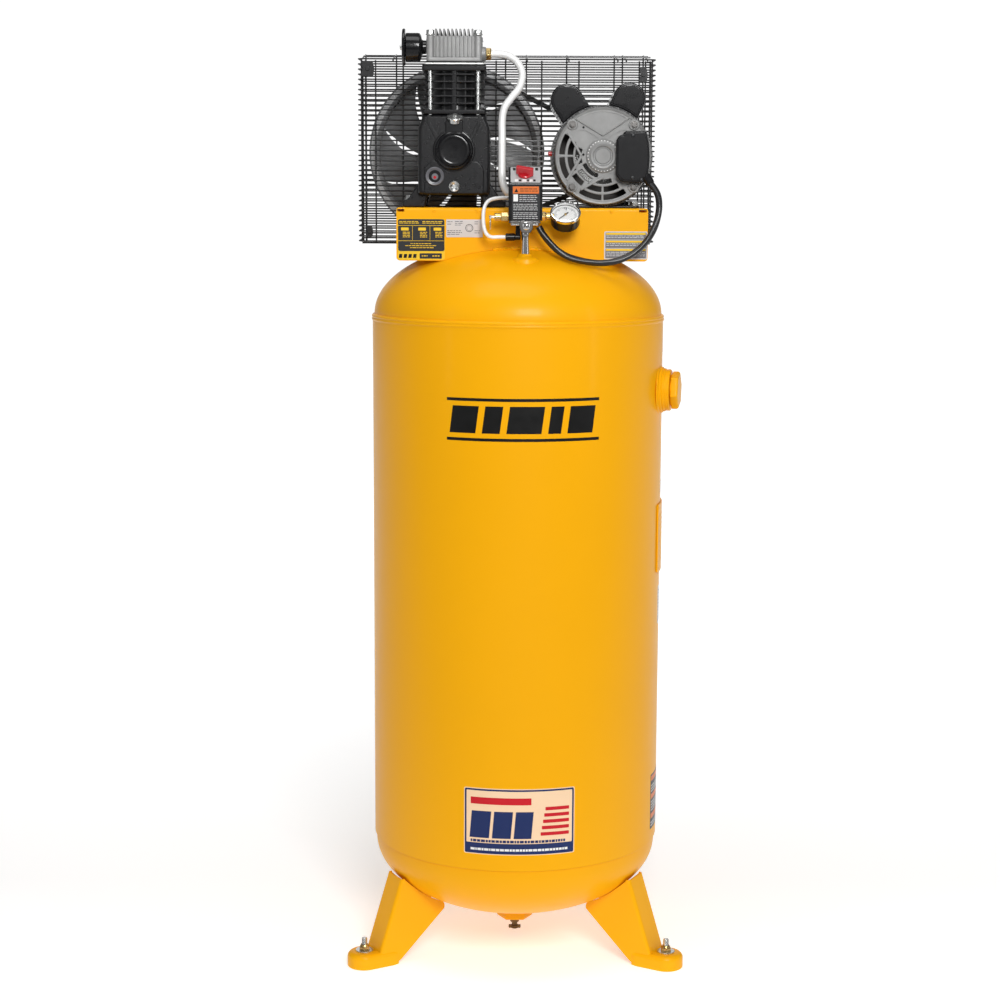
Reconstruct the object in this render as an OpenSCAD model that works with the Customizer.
// Vertical tank compressor: an upright receiver on three legs, with a twin-cylinder
// belt-driven pump and its motor on a saddle deck, a wire belt guard and a pressure switch.
// The origin is where the tank's axis meets the floor. The front is -Y and up is +Z.

/* [Tank] */
// Outside diameter of the shell
tank_d = 508; // [504:1:510]
// Thickness of the shell and of each head
wall = 3; // [2.6:0.1:3.2]
// Height of the lower seam above the floor
seam_low_z = 205; // [203:1:207]
// Height of the upper seam above the floor
seam_high_z = 1132; // [1130:1:1133]
// Depth of each domed head
head_depth = 127; // [125:1:127]

/* [Legs] */
// Radius of the circle through the three foot studs
foot_r = 306; // [302:1:310]
// Width of a leg across its two flanges
leg_w = 54; // [50:1:56]
// Thickness of the leg sheet
leg_sheet = 4; // [3:0.5:5]
// Radius of the round foot pad
pad_r = 30; // [29:0.5:32]

/* [Deck] */
// Height of the deck's top face
deck_z = 1320; // [1320:1:1321]
// Thickness of the deck sheet
deck_sheet = 3.5; // [3:0.5:4]

/* [Pump] */
// Throw of the crankpin
throw = 25; // [20:1:25]
// Radius of each cylinder bore
bore_r = 35; // [35:0.5:36]
// Outside radius of the flywheel
flywheel_r = 153; // [150:1:154]

/* [Motor] */
// Outside radius of the motor shell
motor_r = 85; // [84:1:86]
// Outside radius of the motor pulley
pulley_r = 47; // [46:1:48]

/* [Guard] */
// Diameter of the guard wire
wire = 2.3; // [2:0.1:2.6]
// Spacing of the guard wires
pitch = 8.9; // [8.8:0.1:9.2]

/* [Controls] */
// Outside radius of the pressure gauge
gauge_r = 25.5; // [24:0.5:26]
// Diameter of the motor lead
lead_d = 11; // [10:0.5:12]

/* [Hidden] */
$fn = 64;

yellow = "gold";
black = "dimgray";
steel = "silver";
brass = "goldenrod";

gap = 0.05;
tank_r = tank_d / 2;
head_r = tank_r - wall - gap;
top_z = seam_high_z + 5;
bottom_z = seam_low_z - 10;
flange = 25;

// Places of the bungs and fittings
inspect_z = 1008;
inspect_turn = -12;
outlet_z = 900;
drain_z = 36;
nipple_x = 13;
nipple_y = -150;
check_x = 12;
check_y = -80;

// Pump
pump_x = -110;
crank_z = 1415;
case_y0 = -95;
case_y1 = 80;
case_top = 1476;
block_top = 1555;
head_z0 = 1562;
head_z1 = 1612;
cyl_ys = [-49.5, 34.5];
stud_x = 40;
stud_ys = [-88, 73];
foot_x = 76;
foot_ys = [-60, 45];
bearing_r = 31;
journal_r = 14.95;
shaft_r = 12.5;
run = 0.05;
pin_r = 14;
belt_y = 140;
filter_y = -50;
filter_z = 1590;
port_y = -30;
port_z = 1579;
tube_d = 12.7;
unload_d = 6.35;

// Motor
motor_x = 141;
motor_z = 1407;
bell_r = 81.5;
bell_y0 = -100;
shell_y0 = -84;
shell_y1 = 62;
motor_shaft_r = 7.95;
tie = 52;
base_bolt_x = 55;
base_bolt_ys = [-72, 50];

// Guard
guard_x0 = -285;
guard_x1 = 243;
guard_z0 = 1256;
guard_z1 = 1577;
guard_back_z1 = 1594;
guard_y0 = 105;
guard_y1 = 235;

// Switch and gauge
switch_x0 = -17;
switch_x1 = 35;
switch_y0 = -185;
switch_y1 = -118;
switch_z0 = 1299;
switch_z1 = 1385;
gauge_at = [77, -160, 1314];
gauge_tilt = 42;
stem_y = -153.3;
stem_z = 1306.6;
safety_y = -152;
safety_z = 1305;
knob_at = [9, -166.5, 1373];
knob_tilt = 33;

// Routes of the tubes and of the motor lead, chosen by hand
discharge_route = [[-56, -30, 1579], [-38, -30, 1579], [-20, -32, 1576], [-4, -36, 1565],
  [5, -42, 1545], [0, -50, 1522], [-14, -57, 1504], [-25, -63, 1488], [-29, -69, 1468],
  [-29, -74, 1440], [-29, -78, 1410], [-29, -80, 1380], [-27, -80, 1360], [-20, -80, 1346],
  [-8, -80, 1340], [1, -80, 1340]];
unloader_route = [[6, -98, 1337], [-4, -98, 1337], [-20, -99, 1337], [-36, -103, 1336],
  [-49, -110, 1333], [-57, -118, 1324], [-60, -128, 1308], [-59, -138, 1290],
  [-55, -146, 1278], [-47, -150, 1272], [-36, -150, 1272], [-24, -150, 1272]];
lead_route = [[33, -150, 1289], [38, -151, 1280], [49, -153, 1266], [66, -156, 1249],
  [86, -158, 1238], [112, -159, 1232], [140, -158, 1230], [166, -155, 1234], [190, -151, 1245],
  [210, -146, 1262], [224, -140, 1283], [232, -134, 1304], [235, -129, 1324],
  [232, -122, 1344], [220.6, -115.1, 1361.6]];

function dome_z(r) = top_z + head_depth * sqrt(1 - pow(r / head_r, 2));
function quarter(a, b, n = 28) = [for (i = [0 : n]) [a * cos(90 * i / n), b * sin(90 * i / n)]];
function backwards(list) = [for (i = [len(list) - 1 : -1 : 0]) list[i]];
function unit(v) = v / norm(v);
function arc(r, from, to, n = 16) =
  [for (i = [0 : n]) let (a = from + (to - from) * i / n) [r * cos(a), r * sin(a)]];

// A smooth curve through the points of a route, with n steps between two points
function blend(p, i, t) =
  let (a = p[max(i - 1, 0)], b = p[i], c = p[i + 1], d = p[min(i + 2, len(p) - 1)])
  0.5 * (2 * b + (c - a) * t + (2 * a - 5 * b + 4 * c - d) * t * t
    + (3 * b - a - 3 * c + d) * t * t * t);
function smooth(p, n) =
  concat([for (i = [0 : len(p) - 2]) for (k = [0 : n - 1]) blend(p, i, k / n)],
    [p[len(p) - 1]]);
function ring(c, t, side, r, sides) =
  let (n = unit(cross(t, side)), b = cross(t, n))
  [for (i = [0 : sides - 1]) c + r * (cos(360 * i / sides) * n + sin(360 * i / sides) * b)];

module tube_along(route, r, side, sides, n) {
  line = smooth(route, n);
  last = len(line) - 1;
  rings = [for (j = [0 : last])
    ring(line[j], unit(line[min(j + 1, last)] - line[max(j - 1, 0)]), side, r, sides)];
  points = [for (one = rings) for (p = one) p];
  walls = [for (j = [0 : last - 1]) for (i = [0 : sides - 1])
    let (k = (i + 1) % sides)
    [j * sides + i, (j + 1) * sides + i, (j + 1) * sides + k, j * sides + k]];
  start = [for (i = [0 : sides - 1]) i];
  end = [for (i = [sides - 1 : -1 : 0]) last * sides + i];
  polyhedron(points, concat([start], walls, [end]));
}

module slab(x0, x1, y0, y1, z0, z1) {
  translate([x0, y0, z0]) cube([x1 - x0, y1 - y0, z1 - z0]);
}
module rod_x(y, z, x0, x1, r) {
  translate([x0, y, z]) rotate([0, 90, 0]) cylinder(r = r, h = x1 - x0);
}
module rod_y(x, z, y0, y1, r) {
  translate([x, y0, z]) rotate([-90, 0, 0]) cylinder(r = r, h = y1 - y0);
}
module rod_z(x, y, z0, z1, r) {
  translate([x, y, z0]) cylinder(r = r, h = z1 - z0);
}
// A hexagon prism, given across its flats
module hex_z(x, y, z0, z1, flats) {
  translate([x, y, z0]) cylinder(d = flats / cos(30), h = z1 - z0, $fn = 6);
}
module hex_x(y, z, x0, x1, flats) {
  translate([x0, y, z]) rotate([0, 90, 0]) cylinder(d = flats / cos(30), h = x1 - x0, $fn = 6);
}
module hex_y(x, z, y0, y1, flats) {
  translate([x, y0, z]) rotate([-90, 0, 0]) cylinder(d = flats / cos(30), h = y1 - y0, $fn = 6);
}
// An outline drawn in X and Z, extruded along Y, and one drawn in Y and Z, extruded along X
module plate_y(y0, y1) {
  translate([0, y1, 0]) rotate([90, 0, 0]) linear_extrude(y1 - y0) children();
}
module plate_x(x0, x1) {
  translate([x0, 0, 0]) rotate([90, 0, 90]) linear_extrude(x1 - x0) children();
}

// The space that a head fills, grown a little, for parts that fit against it
module head_space(grow) {
  rotate_extrude()
    polygon(concat([[0, -flange]], [[head_r + grow, -flange]],
      quarter(head_r + grow, head_depth + grow)));
}
module head() {
  rotate_extrude()
    polygon(concat(quarter(head_r, head_depth),
      backwards(quarter(head_r - wall, head_depth - wall)),
      [[head_r - wall, -flange], [head_r, -flange]]));
}
module at_top() { translate([0, 0, top_z]) children(); }
module at_bottom() { translate([0, 0, bottom_z]) mirror([0, 0, 1]) children(); }
module at_inspection() { rotate([0, 0, inspect_turn]) translate([0, 0, inspect_z]) children(); }

module tank_shell() {
  inner = tank_r - wall;
  bead = 1.6;
  color(yellow)
    difference() {
      rotate_extrude()
        polygon([[inner, seam_low_z], [tank_r, seam_low_z], [tank_r, seam_high_z - 6],
          [tank_r + bead, seam_high_z - 4], [tank_r + bead, seam_high_z + 3],
          [tank_r - 1, seam_high_z + 5], [inner, seam_high_z + 5]]);
      at_inspection() rod_x(0, 0, tank_r - 10, tank_r + 10, 38 + gap);
      rod_y(0, outlet_z, tank_r - 10, tank_r + 10, 20 + gap);
    }
}
module tank_head_top() {
  color(yellow)
    difference() {
      at_top() head();
      rod_z(nipple_x, nipple_y, top_z, top_z + head_depth, 7.5);
      rod_z(check_x, check_y, top_z, top_z + head_depth + 5, 13);
    }
}
module tank_head_bottom() {
  color(yellow)
    difference() {
      at_bottom() head();
      rod_z(0, 0, drain_z, bottom_z, 8);
    }
}

// One leg, drawn with its foot out along +X
module leg() {
  web_top = 153;
  web_x = tank_r - 8;
  web_foot = foot_r - 18;
  wall = leg_sheet * 1.05;
  corner = [170, 91];
  pad_h = 26;
  pad_x = foot_r - 56;
  outline = concat([[web_foot, pad_h], [web_x, web_top], [web_x - 14, web_top]],
    [for (p = arc(9, 90, 210, 8)) corner + p],
    [[pad_x - 1, 6], [pad_x + 6, 0], [web_foot, 0]]);
  inside = [[web_x - wall, web_top + 1], [60, web_top + 1], [60, -1],
    [web_foot - wall, -1], [web_foot - wall, pad_h - leg_sheet]];
  difference() {
    union() {
      plate_y(-leg_w / 2, leg_w / 2) polygon(outline);
      rod_z(foot_r, 0, 0, pad_h, pad_r);
      slab(pad_x, foot_r, -pad_r, pad_r, 0, pad_h);
    }
    plate_y(-leg_w / 2 + leg_sheet, leg_w / 2 - leg_sheet) polygon(inside);
    rod_z(foot_r, 0, -1, pad_h - leg_sheet, pad_r - leg_sheet);
    slab(pad_x - 4, foot_r, -pad_r + leg_sheet, pad_r - leg_sheet, -1, pad_h - leg_sheet);
    rod_z(foot_r, 0, -1, pad_h + 1, 6.5);
    at_bottom() head_space(0.3);
  }
}
module leg_front_left() { color(yellow) rotate([0, 0, 210]) leg(); }
module leg_front_right() { color(yellow) rotate([0, 0, -30]) leg(); }
module leg_rear() { color(yellow) rotate([0, 0, 90]) leg(); }

module foot_bolts() {
  washer = 2;
  color(steel)
    for (a = [210, -30, 90])
      rotate([0, 0, a]) {
        rod_z(foot_r, 0, 46, 50, 4.4);
        rod_z(foot_r, 0, 26 + washer + 10, 46, 5);
        rod_z(foot_r, 0, 12, 26, 5.8);
        rod_z(foot_r, 0, 26, 26 + washer, 15.5);
        hex_z(foot_r, 0, 26 + washer, 26 + washer + 10, 17);
        hex_z(foot_r, 0, 6, 12, 17);
      }
}

module deck() {
  x0 = -207;
  x1 = 218;
  y0 = -110;
  y1 = 90;
  skirt_z = 1231;
  side_z = 1270;
  corner = 9;
  t = deck_sheet;
  color(yellow)
    difference() {
      union() {
        slab(x0, x1, y0, y1, deck_z - t, deck_z);
        for (y = [y0, y1 - t])
          difference() {
            slab(x0, x1, y, y + t, skirt_z, deck_z - t / 2);
            for (x = [x0, x1])
              slab(x - 4, x + 4, y - 1, y + t + 1, deck_z - 10, deck_z - 6);
          }
        for (x = [x0, x1 - t])
          slab(x, x + t, y0 + corner, y1 - corner, side_z, deck_z - t / 2);
      }
      at_top() head_space(0.3);
      rod_z(check_x, check_y, deck_z - 20, deck_z + 1, 24);
      for (x = [-foot_x, foot_x])
        for (y = foot_ys)
          rod_z(pump_x + x, y, deck_z - 20, deck_z + 1, 4.6);
      for (x = [-base_bolt_x, base_bolt_x])
        for (y = base_bolt_ys)
          rod_z(motor_x + x, y, deck_z - 20, deck_z + 1, 4.6);
    }
}

module weld_bungs() {
  color(yellow) {
    difference() {
      at_inspection() rod_x(0, 0, tank_r - 6, tank_r + 18, 38);
      at_inspection() rod_x(0, 0, tank_r - 7, tank_r + 19, 24.1);
    }
    difference() {
      rod_z(nipple_x, nipple_y, dome_z(norm([nipple_x, nipple_y])) - 12, 1247, 16);
      rod_z(nipple_x, nipple_y, 1200, 1260, 6.6);
      at_top() head_space(0.1);
    }
    difference() {
      rod_z(check_x, check_y, 1240, 1266, 21);
      rod_z(check_x, check_y, 1230, 1270, 12.1);
      at_top() head_space(0.1);
    }
    difference() {
      hex_z(0, 0, drain_z, bottom_z - head_depth + 8, 62);
      rod_z(0, 0, drain_z - 1, bottom_z, 7.6);
      at_bottom() head_space(0.1);
    }
  }
}
module outlet_bung() {
  color(yellow)
    difference() {
      rod_y(0, outlet_z, tank_r - 6, tank_r + 22, 20);
      rod_y(0, outlet_z, tank_r - 7, tank_r + 23, 12);
    }
}
module inspection_plug() {
  color(yellow)
    at_inspection() {
      rod_x(0, 0, tank_r, tank_r + 19, 24);
      rotate([15, 0, 0]) hex_x(0, 0, tank_r + 18, tank_r + 33, 58);
    }
}
module drain_valve() {
  color(brass)
    difference() {
      union() {
        rod_z(0, 0, 30, 52, 7.5);
        hex_z(0, 0, 24, 30, 14);
        rod_z(0, 0, 18, 24, 5);
      }
      rod_z(0, 0, 17, 44, 2.5);
    }
}
module drain_knob() {
  color(brass)
    difference() {
      union() {
        rod_z(0, 0, 12, 17.9, 6.5);
        slab(-11, 11, -2, 2, 12, 17.9);
      }
      rod_z(0, 0, 11, 19, 2.5);
    }
}
module name_plate() {
  from = -17;
  to = 9;
  color(yellow)
    translate([0, 0, 688])
      linear_extrude(121)
        polygon(concat(arc(tank_r + 3, from, to), backwards(arc(tank_r + 0.2, from, to))));
}

module crankcase() {
  rail = 14;
  color(black)
    difference() {
      union() {
        translate([pump_x, 0, 0])
          plate_y(case_y0, case_y1)
            polygon([[-61, 1320], [-61, 1452], [-54, 1466], [-54, case_top], [54, case_top],
              [54, 1466], [61, 1452], [61, 1320], [61 - rail, 1320], [61 - rail, 1332],
              [61 - rail - 8, 1341], [-61 + rail + 8, 1341], [-61 + rail, 1332],
              [-61 + rail, 1320]]);
        for (y = foot_ys)
          translate([pump_x, 0, 0])
            plate_y(y - 18, y + 18)
              polygon([[-88, deck_z], [-88, 1331], [-80, 1333], [-60.5, 1362], [60.5, 1362],
                [80, 1333], [88, 1331], [88, deck_z], [50, deck_z], [50, 1342], [-50, 1342],
                [-50, deck_z]]);
        rod_y(pump_x, crank_z, case_y0 - 4, case_y0 + 1, 35.5);
        slab(pump_x - 9, pump_x + 9, case_y0 - 4, case_y0 + 1, crank_z + 20, case_top);
      }
      slab(pump_x - 51, pump_x + 51, -75, 60, 1350, case_top + 1);
      rod_y(pump_x, crank_z, case_y0 - 5, -74, bearing_r + 0.02);
      rod_y(pump_x, crank_z, 59, case_y1 + 1, bearing_r + 0.02);
      rod_y(-142, 1374, case_y0 - 5, -74, 9.05);
      rod_y(pump_x, 1356, case_y0 - 5, -74, 5.05);
      rod_y(pump_x, 1465, case_y0 - 5, -74, 5.05);
      for (x = [-stud_x, stud_x])
        for (y = stud_ys)
          rod_z(pump_x + x, y, 1456, case_top + 1, 4.1);
      for (x = [-foot_x, foot_x])
        for (y = foot_ys)
          rod_z(pump_x + x, y, deck_z - 1, 1370, 4.6);
      // Flats for the foot bolts' heads
      for (x = [-foot_x, foot_x])
        for (y = foot_ys)
          rod_z(pump_x + x, y, 1332.9, 1370, 9);
    }
}
module bearing_cover() {
  color(black) {
    rod_y(pump_x, crank_z, case_y0 - 14, case_y0 - 4, 32);
    rod_y(pump_x, crank_z, case_y0 - 4, -92.1, bearing_r - 0.1);
  }
}
module sight_glass() {
  color(black)
    translate([-142, 0, 1374]) {
      rod_y(0, 0, case_y0 - 5, case_y0, 15);
      rod_y(0, 0, case_y0, -84, 9);
    }
}
module oil_plugs() {
  color(steel)
    for (z = [1356, 1465]) {
      rod_y(pump_x, z, case_y0 - (z > crank_z ? 4 : 0), -80, 5);
      hex_y(pump_x, z, case_y0 - (z > crank_z ? 11 : 7), case_y0 - (z > crank_z ? 4 : 0), 13);
    }
}
module crank_bearings() {
  color(steel)
    for (y = [-92, 61])
      difference() {
        rod_y(pump_x, crank_z, y, y + 16, bearing_r);
        rod_y(pump_x, crank_z, y - 1, y + 17, journal_r + run);
      }
}
module cylinder_block() {
  fins = 5;
  first = case_top + 16;
  step = 12;
  color(black)
    difference() {
      union() {
        for (y = cyl_ys)
          rod_z(pump_x, y, case_top, block_top, bore_r + 7.5);
        slab(pump_x - 6, pump_x + 6, case_y0 + 1, case_y1 - 1, case_top + 3, block_top - 3);
        slab(pump_x - 54, pump_x + 54, case_y0 - 2, case_y1 + 2, case_top, case_top + 7);
        slab(pump_x - 54, pump_x + 54, case_y0 - 2, case_y1 + 2, block_top - 7, block_top);
        for (i = [0 : fins - 1])
          slab(pump_x - 53, pump_x + 53, case_y0, case_y1, first + i * step,
            first + i * step + 2.6);
      }
      for (y = cyl_ys)
        rod_z(pump_x, y, case_top - 1, block_top + 1, bore_r);
      for (x = [-stud_x, stud_x])
        for (y = stud_ys) {
          rod_z(pump_x + x, y, case_top - 1, block_top + 1, 4.1);
          slab(pump_x + x - 5, pump_x + x + 5, y < 0 ? case_y0 - 3 : y - 5,
            y < 0 ? y + 5 : case_y1 + 3, case_top + 7.5, block_top - 7.5);
        }
    }
}
module pump_bolts() {
  color(steel) {
    for (x = [-stud_x, stud_x])
      for (y = stud_ys) {
        rod_z(pump_x + x, y, 1460, head_z1, 4);
        hex_z(pump_x + x, y, head_z1, head_z1 + 6, 12);
      }
    for (x = [-foot_x, foot_x])
      for (y = foot_ys) {
        rod_z(pump_x + x, y, deck_z - 18, 1333, 4.5);
        hex_z(pump_x + x, y, 1333, 1339, 13);
        hex_z(pump_x + x, y, deck_z - deck_sheet - 8, deck_z - deck_sheet - 0.1, 13);
      }
  }
}
module valve_plate() {
  color(steel)
    difference() {
      slab(pump_x - 55, pump_x + 55, case_y0 - 2, case_y1 + 2, block_top, head_z0);
      for (x = [-stud_x, stud_x])
        for (y = stud_ys)
          rod_z(pump_x + x, y, block_top - 1, head_z0 + 1, 4.1);
      for (x = [-15, 15])
        for (y = cyl_ys)
          rod_z(pump_x + x, y, block_top - 1, head_z0 + 1, 7);
    }
}
module cylinder_head() {
  ribs = 9;
  rib_step = 7;
  base_h = 6;
  color(steel)
    difference() {
      union() {
        slab(pump_x - 53, pump_x + 53, case_y0, case_y1, head_z0, head_z0 + base_h);
        slab(pump_x - 43, pump_x + 43, case_y0 + 5, case_y1 - 5, head_z0 + 2, head_z1 - 5);
        for (i = [0 : ribs - 1])
          slab(pump_x + (i - 4) * rib_step - 1.2, pump_x + (i - 4) * rib_step + 1.2,
            case_y0 + 1, case_y1 - 1, head_z0 + 3, head_z1 + 5);
        for (x = [-stud_x, stud_x])
          for (y = stud_ys)
            rod_z(pump_x + x, y, head_z0 + 2, head_z1, 8);
        rod_x(filter_y, filter_z, pump_x - 48, pump_x - 40, 15);
        rod_x(port_y, port_z, pump_x + 40, pump_x + 53, 12);
      }
      for (x = [-37, 3])
        slab(pump_x + x, pump_x + x + 34, case_y0 + 18, case_y1 - 18, head_z0 - 1, head_z1 - 14);
      for (x = [-stud_x, stud_x])
        for (y = stud_ys)
          rod_z(pump_x + x, y, head_z0 - 1, head_z1 + 1, 4.1);
      rod_x(filter_y, filter_z, pump_x - 49, pump_x - 30, 9.05);
      rod_x(port_y, port_z, pump_x + 30, pump_x + 54, 7);
    }
}
module pistons() {
  skirt_z = 1520;
  pin_z = 1529;
  color(steel)
    for (y = cyl_ys)
      translate([pump_x, y, 0]) {
        difference() {
          rod_z(0, 0, skirt_z, block_top - 1.5, bore_r - run);
          rod_z(0, 0, skirt_z - 1, block_top - 12, bore_r - 4);
          rod_y(0, pin_z, -40, 40, 6 + run);
        }
        rod_y(0, pin_z, 4 - bore_r + 1, bore_r - 5, 6);
      }
}
module connecting_rods() {
  pin_z = crank_z + throw;
  color(steel)
    for (y = cyl_ys)
      difference() {
        union() {
          rod_y(pump_x, pin_z, y - 8, y + 8, 20);
          slab(pump_x - 7, pump_x + 7, y - 5, y + 5, pin_z + 15, 1508);
          rod_y(pump_x, 1508, y - 6, y + 6, 8);
        }
        rod_y(pump_x, pin_z, y - 9, y + 9, pin_r + run);
        rod_y(pump_x, 1508, y - 9, y + 9, 4);
      }
}
module crank_web(y0, y1) {
  rod_y(pump_x, crank_z, y0, y1, 24);
  rod_y(pump_x, crank_z + throw, y0, y1, 17);
  intersection() {
    rod_y(pump_x, crank_z, y0, y1, 43);
    slab(pump_x - 32, pump_x + 32, y0, y1, crank_z - 50, crank_z + 2);
  }
}
module crankshaft() {
  color(steel) {
    difference() {
      union() {
        rod_y(pump_x, crank_z, -91, -72, journal_r);
        crank_web(-73, -62);
        rod_y(pump_x, crank_z + throw, -63, 47, pin_r);
        crank_web(-16, 1);
        crank_web(46, 57);
        rod_y(pump_x, crank_z, 56, 84, journal_r);
        rod_y(pump_x, crank_z, 83, 160, shaft_r);
      }
      rod_y(pump_x, crank_z, 130, 161, 5.1);
    }
    rod_y(pump_x, crank_z, 132, 162, 5);
    rod_y(pump_x, crank_z, 162, 165, 16);
    hex_y(pump_x, crank_z, 165, 172, 17);
  }
}

// Half of a crescent slot between two fan blades
function crescent(r0, r1, sweep, depth) =
  concat([for (i = [0 : 12]) let (t = i / 12, r = r0 + (r1 - r0) * t, a = sweep * t)
      [r * cos(a), r * sin(a)]],
    [for (i = [11 : -1 : 1]) let (t = i / 12, r = r0 + (r1 - r0) * t,
        a = sweep * t + depth * sin(180 * t) * 60 / r)
      [r * cos(a), r * sin(a)]]);
module groove(r, y0, y1, bore, depth) {
  mid = (y1 - y0) / 2;
  translate([0, y0, 0])
    rotate([-90, 0, 0])
      rotate_extrude()
        polygon([[bore, 0], [r, 0], [r, mid - 7.6], [r - depth, mid - 5.6],
          [r - depth, mid + 5.6], [r, mid + 7.6], [r, 2 * mid], [bore, 2 * mid]]);
}
module flywheel() {
  blades = 9;
  inner_r = 58;
  lean = 25.7;
  sweep = -21.6;
  slot_w = 8;
  color(black)
    translate([pump_x, 0, crank_z])
      difference() {
        union() {
          groove(flywheel_r, belt_y - 17, belt_y + 17, flywheel_r - 20, 15);
          rod_y(0, 0, belt_y - 5, belt_y + 5, flywheel_r - 18);
          rod_y(0, 0, belt_y - 24, belt_y + 21.9, 28);
        }
        rod_y(0, 0, belt_y - 25, belt_y + 23, shaft_r + 0.02);
        for (i = [0 : blades - 1])
          plate_y(belt_y - 6, belt_y + 6)
            rotate(lean + i * 360 / blades)
              polygon(crescent(inner_r, flywheel_r - 24, sweep, slot_w));
      }
}

module filter_base() {
  color(black)
    difference() {
      union() {
        rod_x(filter_y, filter_z, -166, pump_x - 48, 11);
        rod_x(filter_y, filter_z, pump_x - 49, pump_x - 42, 9);
        rod_x(filter_y, filter_z, -193, -166, 24);
      }
      rod_x(filter_y, filter_z, -194, -169, 21);
      rod_x(filter_y, filter_z, -170, pump_x - 41, 6);
    }
}
module filter_cover() {
  color(black) rod_x(filter_y, filter_z, -199, -193.05, 31);
}
module filter_element() {
  color("ivory")
    difference() {
      rod_x(filter_y, filter_z, -192, -170, 20);
      rod_x(filter_y, filter_z, -193, -169, 11);
    }
}

module discharge_tube() {
  color(steel) tube_along(discharge_route, tube_d / 2, [0, 1, 0], 12, 4);
}
module unloader_tube() {
  color(steel) tube_along(unloader_route, unload_d / 2, [0, 0.86, -0.51], 10, 4);
}
module tube_fittings() {
  // Each fitting's bore is wider than its tube, so the two stay separate solids
  color(brass) {
    difference() {
      hex_x(port_y, port_z, pump_x + 53.1, pump_x + 64, 21);
      rod_x(port_y, port_z, pump_x + 52, pump_x + 65, tube_d / 2 + 0.5);
    }
    difference() {
      hex_x(check_y, 1340, -10, check_x - 13.1, 19);
      rod_x(check_y, 1340, -11, check_x, tube_d / 2 + 1.4);
    }
    difference() {
      union() {
        rod_y(check_x, 1337, -104, -93.1, 6);
        rod_x(-98, 1337, 0, check_x, 4.8);
      }
      rod_x(-98, 1337, -1, 7, unload_d / 2 + 0.2);
    }
  }
  color(black)
    difference() {
      union() {
        rod_x(-150, 1272, -28, 4, 6.5);
        rod_z(-1, -150, 1272, 1286.9, 5);
      }
      rod_x(-150, 1272, -29, -23, unload_d / 2 + 0.2);
    }
}
module check_valve() {
  color(brass)
    difference() {
      union() {
        rod_z(check_x, check_y, 1240, 1268, 12);
        hex_z(check_x, check_y, 1268, 1300, 30);
        rod_z(check_x, check_y, 1299, 1352, 13);
        hex_z(check_x, check_y, 1351.2, 1358, 24);
      }
      rod_z(check_x, check_y, 1239, 1330, 8.1);
      rod_z(check_x, check_y, 1329, 1346, 6);
      rod_x(check_y, 1340, check_x - 14, check_x, tube_d / 2 + 0.3);
      rod_y(check_x, 1337, -94, check_y, 2.5);
    }
}
module check_poppet() {
  color(steel) {
    rod_z(check_x, check_y, 1322, 1329.9, 8);
    rod_z(check_x, check_y, 1306, 1322.5, 4);
  }
}

module motor_shell() {
  color(black)
    difference() {
      rod_y(motor_x, motor_z, shell_y0, shell_y1, motor_r);
      rod_y(motor_x, motor_z, shell_y0 - 1, shell_y1 + 1, motor_r - 3);
      rod_x(-60, motor_z + 4, motor_x - motor_r - 2, motor_x - motor_r + 12, 4.1);
    }
}
module bell_holes() {
  for (x = [-tie, tie])
    for (z = [-tie, tie])
      rod_y(motor_x + x, motor_z + z, -110, 110, 2.6);
}
// A curved cooling slot, from one angle to another
module slot(r, from, to) {
  plate_y(bell_y0 - 1, bell_y0 + 7)
    translate([motor_x, motor_z])
      polygon(concat(arc(r + 3.6, from, to), backwards(arc(r - 3.6, from, to))));
}
module motor_end_front() {
  color(steel)
    difference() {
      rod_y(motor_x, motor_z, bell_y0, shell_y0, bell_r);
      difference() {
        rod_y(motor_x, motor_z, bell_y0 + 6, shell_y0 + 1, bell_r - 4);
        rod_y(motor_x, motor_z, bell_y0 + 6, shell_y0 + 2, 24);
        for (x = [-tie, tie])
          for (z = [-tie, tie])
            rod_y(motor_x + x, motor_z + z, bell_y0 + 6, shell_y0 + 2, 7);
      }
      rod_y(motor_x, motor_z, bell_y0 + 8, shell_y0 + 1, motor_shaft_r + run);
      bell_holes();
      for (r = [38, 50, 62])
        for (a = [152, 184, 232, 276])
          slot(r, a + 3, a + (a == 152 || a == 276 ? 27 : 30));
    }
}
module motor_end_rear() {
  color(steel)
    difference() {
      rod_y(motor_x, motor_z, shell_y1, shell_y1 + 16, bell_r);
      difference() {
        rod_y(motor_x, motor_z, shell_y1 - 1, shell_y1 + 10, bell_r - 4);
        rod_y(motor_x, motor_z, shell_y1 - 2, shell_y1 + 10, 24);
        for (x = [-tie, tie])
          for (z = [-tie, tie])
            rod_y(motor_x + x, motor_z + z, shell_y1 - 2, shell_y1 + 10, 7);
      }
      rod_y(motor_x, motor_z, shell_y1 - 2, shell_y1 + 17, motor_shaft_r + run);
      bell_holes();
    }
}
module stator() {
  color(steel)
    difference() {
      rod_y(motor_x, motor_z, -50, 35, motor_r - 3.1);
      rod_y(motor_x, motor_z, -51, 36, 48);
      for (x = [-tie, tie])
        for (z = [-tie, tie])
          rod_y(motor_x + x, motor_z + z, -51, 36, 4);
    }
}
module rotor() {
  color(steel) {
    rod_y(motor_x, motor_z, -91, 157, motor_shaft_r);
    rod_y(motor_x, motor_z, -50, 35, 47.5);
    rod_y(motor_x, motor_z, 45, 50, 46);
  }
}
module motor_pulley() {
  color(black)
    translate([motor_x, 0, motor_z]) {
      groove(pulley_r, belt_y - 12, belt_y + 12, motor_shaft_r + 0.02, 14);
    }
}
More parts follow.
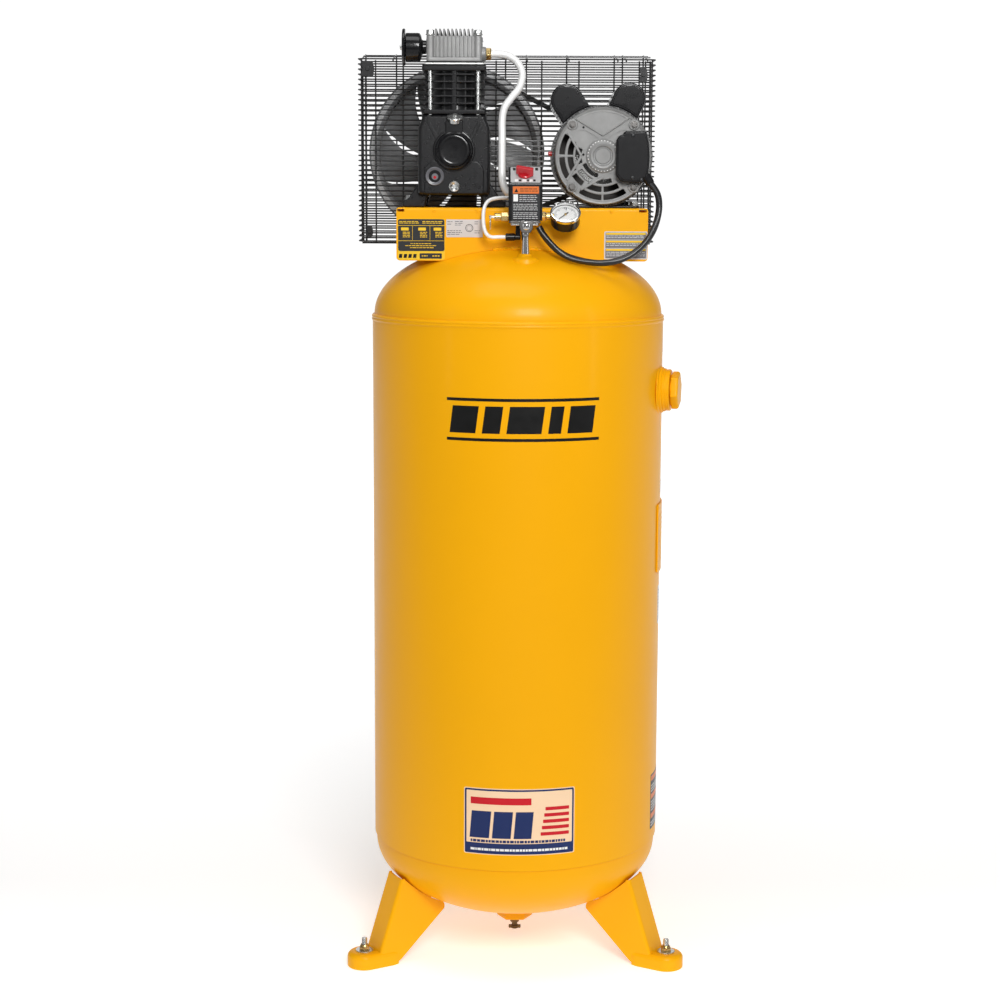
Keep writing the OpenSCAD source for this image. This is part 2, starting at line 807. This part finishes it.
// The round-ended outline of a capacitor cover, standing out from the shell at an angle
module ear(turn, reach, r) {
  translate([motor_x, motor_z])
    rotate(turn) {
      translate([reach, 0]) circle(r = r);
      translate([60, -r + 0.01]) square([reach - 60, 2 * r - 0.02]);
    }
}
module capacitor_covers() {
  color(black)
    difference() {
      union() {
        plate_y(-80, 34) ear(123, 112, 27);
        plate_y(-80, 34) ear(65, 106, 27);
      }
      plate_y(-77, 31) ear(123, 112, 24);
      plate_y(-77, 31) ear(65, 106, 24);
      rod_y(motor_x, motor_z, -90, 40, motor_r + 0.1);
    }
}
module capacitors() {
  color("lightgray")
    for (c = [[123, 110], [65, 106]])
      translate([motor_x, 0, motor_z])
        rotate([0, -c[0], 0])
          translate([c[1], 0, 0])
            rod_y(0, 0, -72, 22, 19);
}
module at_gland() { translate([220.4, -115, 1362]) rotate([0, -35, 0]) children(); }
module terminal_cover() {
  color(black)
    difference() {
      union() {
        plate_y(-119, bell_y0 - 0.05)
          polygon([[163, 1373], [173, 1363], [212, 1362], [219, 1372], [222, 1405],
            [219, 1440], [212, 1448], [172, 1448], [163, 1438]]);
        at_gland() rod_z(0, 0, 0, 16, 7.5);
      }
      at_gland() rod_z(0, 0, -1, 4, lead_d / 2 + 0.4);
    }
}
module motor_base() {
  color(black)
    difference() {
      union() {
        slab(motor_x - 64, motor_x + 64, -80, 60, deck_z, deck_z + 4);
        for (y = [-78, 52])
          plate_y(y, y + 5)
            polygon([[motor_x - 60, deck_z + 3], [motor_x - 46, 1345], [motor_x + 46, 1345],
              [motor_x + 60, deck_z + 3]]);
      }
      rod_y(motor_x, motor_z, -90, 70, motor_r + 0.1);
      for (x = [-base_bolt_x, base_bolt_x])
        for (y = base_bolt_ys)
          rod_z(motor_x + x, y, deck_z - 1, 1332, 4.6);
      for (x = [-base_bolt_x, base_bolt_x])
        for (y = base_bolt_ys)
          rod_z(motor_x + x, y, deck_z + 4.01, deck_z + 40, 9);
    }
}
module motor_bolts() {
  color(steel) {
    for (x = [-tie, tie])
      for (z = [-tie, tie]) {
        rod_y(motor_x + x, motor_z + z, bell_y0, shell_y1 + 16, 2.5);
        hex_y(motor_x + x, motor_z + z, bell_y0 - 4, bell_y0, 10);
        hex_y(motor_x + x, motor_z + z, shell_y1 + 16, shell_y1 + 20, 8);
      }
    for (x = [-base_bolt_x, base_bolt_x])
      for (y = base_bolt_ys) {
        rod_z(motor_x + x, y, deck_z - 16, deck_z + 6, 4.5);
        hex_z(motor_x + x, y, deck_z + 4.05, deck_z + 10, 13);
        hex_z(motor_x + x, y, deck_z - deck_sheet - 8, deck_z - deck_sheet - 0.1, 13);
      }
  }
}
module reset_button() {
  color("red") rod_x(-60, motor_z + 4, motor_x - motor_r - 6, motor_x - motor_r + 6, 4);
}

// The belt's outline: an arc round each wheel and the two straight runs between them
module belt() {
  far = [motor_x - pump_x, motor_z - crank_z];
  line = atan2(far[1], far[0]);
  span = norm(far);
  function loop(r1, r2) =
    let (lean = acos((r1 - r2) / span))
    concat([for (i = [0 : 36]) let (a = line + lean + (360 - 2 * lean) * i / 36)
        [r1 * cos(a), r1 * sin(a)]],
      [for (i = [0 : 18]) let (a = line - lean + 2 * lean * i / 18)
        far + [r2 * cos(a), r2 * sin(a)]]);
  color(black)
    translate([pump_x, 0, crank_z])
      plate_y(belt_y - 5, belt_y + 5)
        difference() {
          polygon(loop(flywheel_r - 3, pulley_r - 2));
          polygon(loop(flywheel_r - 11, pulley_r - 10));
        }
}

// A flat wire grille drawn in its own plane: w wide and h high, with clearance holes
module grille(w, h, uprights) {
  linear_extrude(wire)
    difference() {
      square([w, h]);
      for (j = [0 : len(uprights) - 2])
        for (z = [wire : pitch : h - pitch])
          translate([uprights[j] + wire, z])
            square([uprights[j + 1] - uprights[j] - wire, pitch - wire]);
    }
}
module guard_front() {
  rows = floor((guard_z1 - guard_z0) / pitch);
  uprights = [guard_x0 + 1, guard_x0 + 18, -205, -40, 41, 107, 200, guard_x1 - 18, guard_x1 - 1];
  color(black)
    difference() {
      union() {
        for (i = [0 : rows])
          rod_x(guard_y0 + wire / 2, guard_z0 + wire + i * pitch, guard_x0, guard_x1, wire / 2);
        for (x = uprights)
          rod_z(x, guard_y0 + 1.5 * wire + gap, guard_z0, guard_z1, wire / 2);
      }
      slab(pump_x - 26, pump_x + 26, guard_y0 - 1, guard_y0 + 3 * wire, crank_z - 24, crank_z + 24);
      slab(motor_x - 16, motor_x + 16, guard_y0 - 1, guard_y0 + 3 * wire, motor_z - 15,
        motor_z + 15);
    }
}
module guard_basket() {
  w = guard_x1 - guard_x0;
  h = guard_z1 - guard_z0;
  d = guard_y1 - guard_y0;
  start = guard_y0 + 2 * wire + 2 * gap;
  rear_uprights = [0, 62, 262, 300, 374, 461, 476, w - wire];
  side_uprights = [0, 40, 80, d - 3 * wire - 1];
  color(black) {
    translate([guard_x0, guard_y1, guard_z0])
      rotate([90, 0, 0]) grille(w, guard_back_z1 - guard_z0, rear_uprights);
    for (x = [guard_x0, guard_x1 - wire])
      translate([x, start, guard_z0])
        rotate([90, 0, 90]) grille(d - 3 * wire - 0.4, h - wire, side_uprights);
    translate([guard_x0 + wire + gap, start, guard_z0])
      linear_extrude(wire)
        difference() {
          square([w - 2 * wire - 2 * gap, d - 3 * wire - 0.4]);
          for (j = [0 : 5])
            for (i = [0 : 12])
              translate([wire + j * 87, wire + i * pitch]) square([84, pitch - wire]);
        }
    translate([guard_x0 + wire + gap, start, guard_z1 + 0.5])
      rotate([atan2(guard_back_z1 - guard_z1 - 3, d), 0, 0])
        linear_extrude(wire)
          difference() {
            square([w - 2 * wire - 2 * gap, d - 3 * wire - 2]);
            for (j = [0 : 5])
              for (i = [0 : 12])
                translate([wire + j * 87, wire + i * pitch]) square([84, pitch - wire]);
          }
  }
}

module switch_nipple() {
  color(steel)
    difference() {
      rod_z(nipple_x, nipple_y, 1232, 1286.9, 6.5);
      rod_z(nipple_x, nipple_y, 1231, 1288, 4);
    }
}
module switch_base() {
  color(steel) {
    difference() {
      union() {
        slab(switch_x0 + 3, switch_x1 - 3, switch_y0 + 4, switch_y1 - 4, 1292, 1316);
        slab(switch_x0, switch_x1, switch_y0, switch_y1, 1292, switch_z0 - gap);
        hex_z(nipple_x, nipple_y, 1287, 1292, 22);
        slab(nipple_x - 11, nipple_x + 11, switch_y0, switch_y0 + 4, 1281, 1292);
      }
      rod_x(stem_y, stem_z, switch_x1 - 10, switch_x1 + 1, 5.1);
      rod_x(safety_y, safety_z, switch_x0 - 1, switch_x0 + 10, 5.1);
    }
    slab(switch_x0 + 8, switch_x1 - 8, -150, -124, 1316.1, 1370);
    rod_z(9, -168, 1316.1, 1345, 8);
  }
}
module cover_outline(inset) {
  polygon([[switch_y0 + inset, switch_z0 - (inset > 0 ? 1 : 0)],
    [switch_y1 - inset, switch_z0 - (inset > 0 ? 1 : 0)], [switch_y1 - inset, switch_z1 - inset],
    [-148 + inset * 0.3, switch_z1 - inset], [switch_y0 + inset, 1361 - inset * 0.6]]);
}
module at_knob() { translate(knob_at) rotate([knob_tilt, 0, 0]) children(); }
module switch_cover() {
  color(black)
    difference() {
      plate_x(switch_x0, switch_x1) cover_outline(0);
      plate_x(switch_x0 + 2.5, switch_x1 - 2.5) cover_outline(2.5);
      rod_x(stem_y, stem_z, switch_x1 - 5, switch_x1 + 1, 8);
      rod_x(safety_y, safety_z, switch_x0 - 1, switch_x0 + 5, 8);
      at_knob() rod_z(0, 0, -8, 8, 5.05);
    }
}
module switch_lever() {
  color("red")
    at_knob() {
      rod_z(0, 0, -4, 1.5, 5);
      rod_z(0, 0, 1.2, 5, 12);
      slab(-15, 15, -4.5, 4.5, 1.2, 13);
    }
}
module at_gauge() { translate(gauge_at) rotate([gauge_tilt, 0, 0]) children(); }
module gauge_case() {
  color(black)
    difference() {
      union() {
        at_gauge() rod_z(0, 0, -20, 0, gauge_r);
        rod_x(stem_y, stem_z, switch_x1 - 9, gauge_at[0] - 20, 5);
        hex_x(stem_y, stem_z, switch_x1 + 1, switch_x1 + 9, 14);
      }
      at_gauge() rod_z(0, 0, -7, 1, gauge_r - 2);
    }
}
module gauge_lens() {
  color("white") at_gauge() rod_z(0, 0, -2.2, -0.7, gauge_r - 2.1);
}
module gauge_needle() {
  color("red")
    at_gauge()
      rotate([0, 0, 225]) {
        rod_z(0, 0, -6.8, -4, 2);
        slab(-6, 18, -0.7, 0.7, -5.6, -4.6);
      }
}
module safety_valve() {
  color(brass)
    difference() {
      union() {
        rod_x(safety_y, safety_z, -41, switch_x0 + 9, 5);
        hex_x(safety_y, safety_z, -30, switch_x0 - 2, 14);
        rod_x(safety_y, safety_z, -41, -29, 6.2);
      }
      rod_x(safety_y, safety_z, -42, -24, 2.6);
    }
}
module safety_ring() {
  color(steel) {
    rod_x(safety_y, safety_z, -46, -27, 2.5);
    translate([-48, safety_y, safety_z - 9])
      rotate([0, 0, 90])
        rotate([90, 0, 0])
          rotate_extrude() translate([11, 0]) circle(r = 1.1, $fn = 16);
    rod_x(safety_y, safety_z, -50, -45.5, 3.2);
  }
}
module motor_lead() {
  color(black) tube_along(lead_route, lead_d / 2, [0, 1, 0], 12, 4);
}

tank_shell();
tank_head_top();
tank_head_bottom();
leg_front_left();
leg_front_right();
leg_rear();
foot_bolts();
deck();
weld_bungs();
outlet_bung();
inspection_plug();
drain_valve();
drain_knob();
name_plate();
crankcase();
bearing_cover();
sight_glass();
oil_plugs();
crank_bearings();
cylinder_block();
pump_bolts();
valve_plate();
cylinder_head();
pistons();
connecting_rods();
crankshaft();
flywheel();
filter_base();
filter_cover();
filter_element();
discharge_tube();
tube_fittings();
check_valve();
check_poppet();
unloader_tube();
motor_shell();
motor_end_front();
motor_end_rear();
stator();
rotor();
motor_pulley();
capacitor_covers();
capacitors();
terminal_cover();
motor_base();
motor_bolts();
reset_button();
belt();
guard_front();
guard_basket();
switch_nipple();
switch_base();
switch_cover();
switch_lever();
gauge_case();
gauge_lens();
gauge_needle();
safety_valve();
safety_ring();
motor_lead();
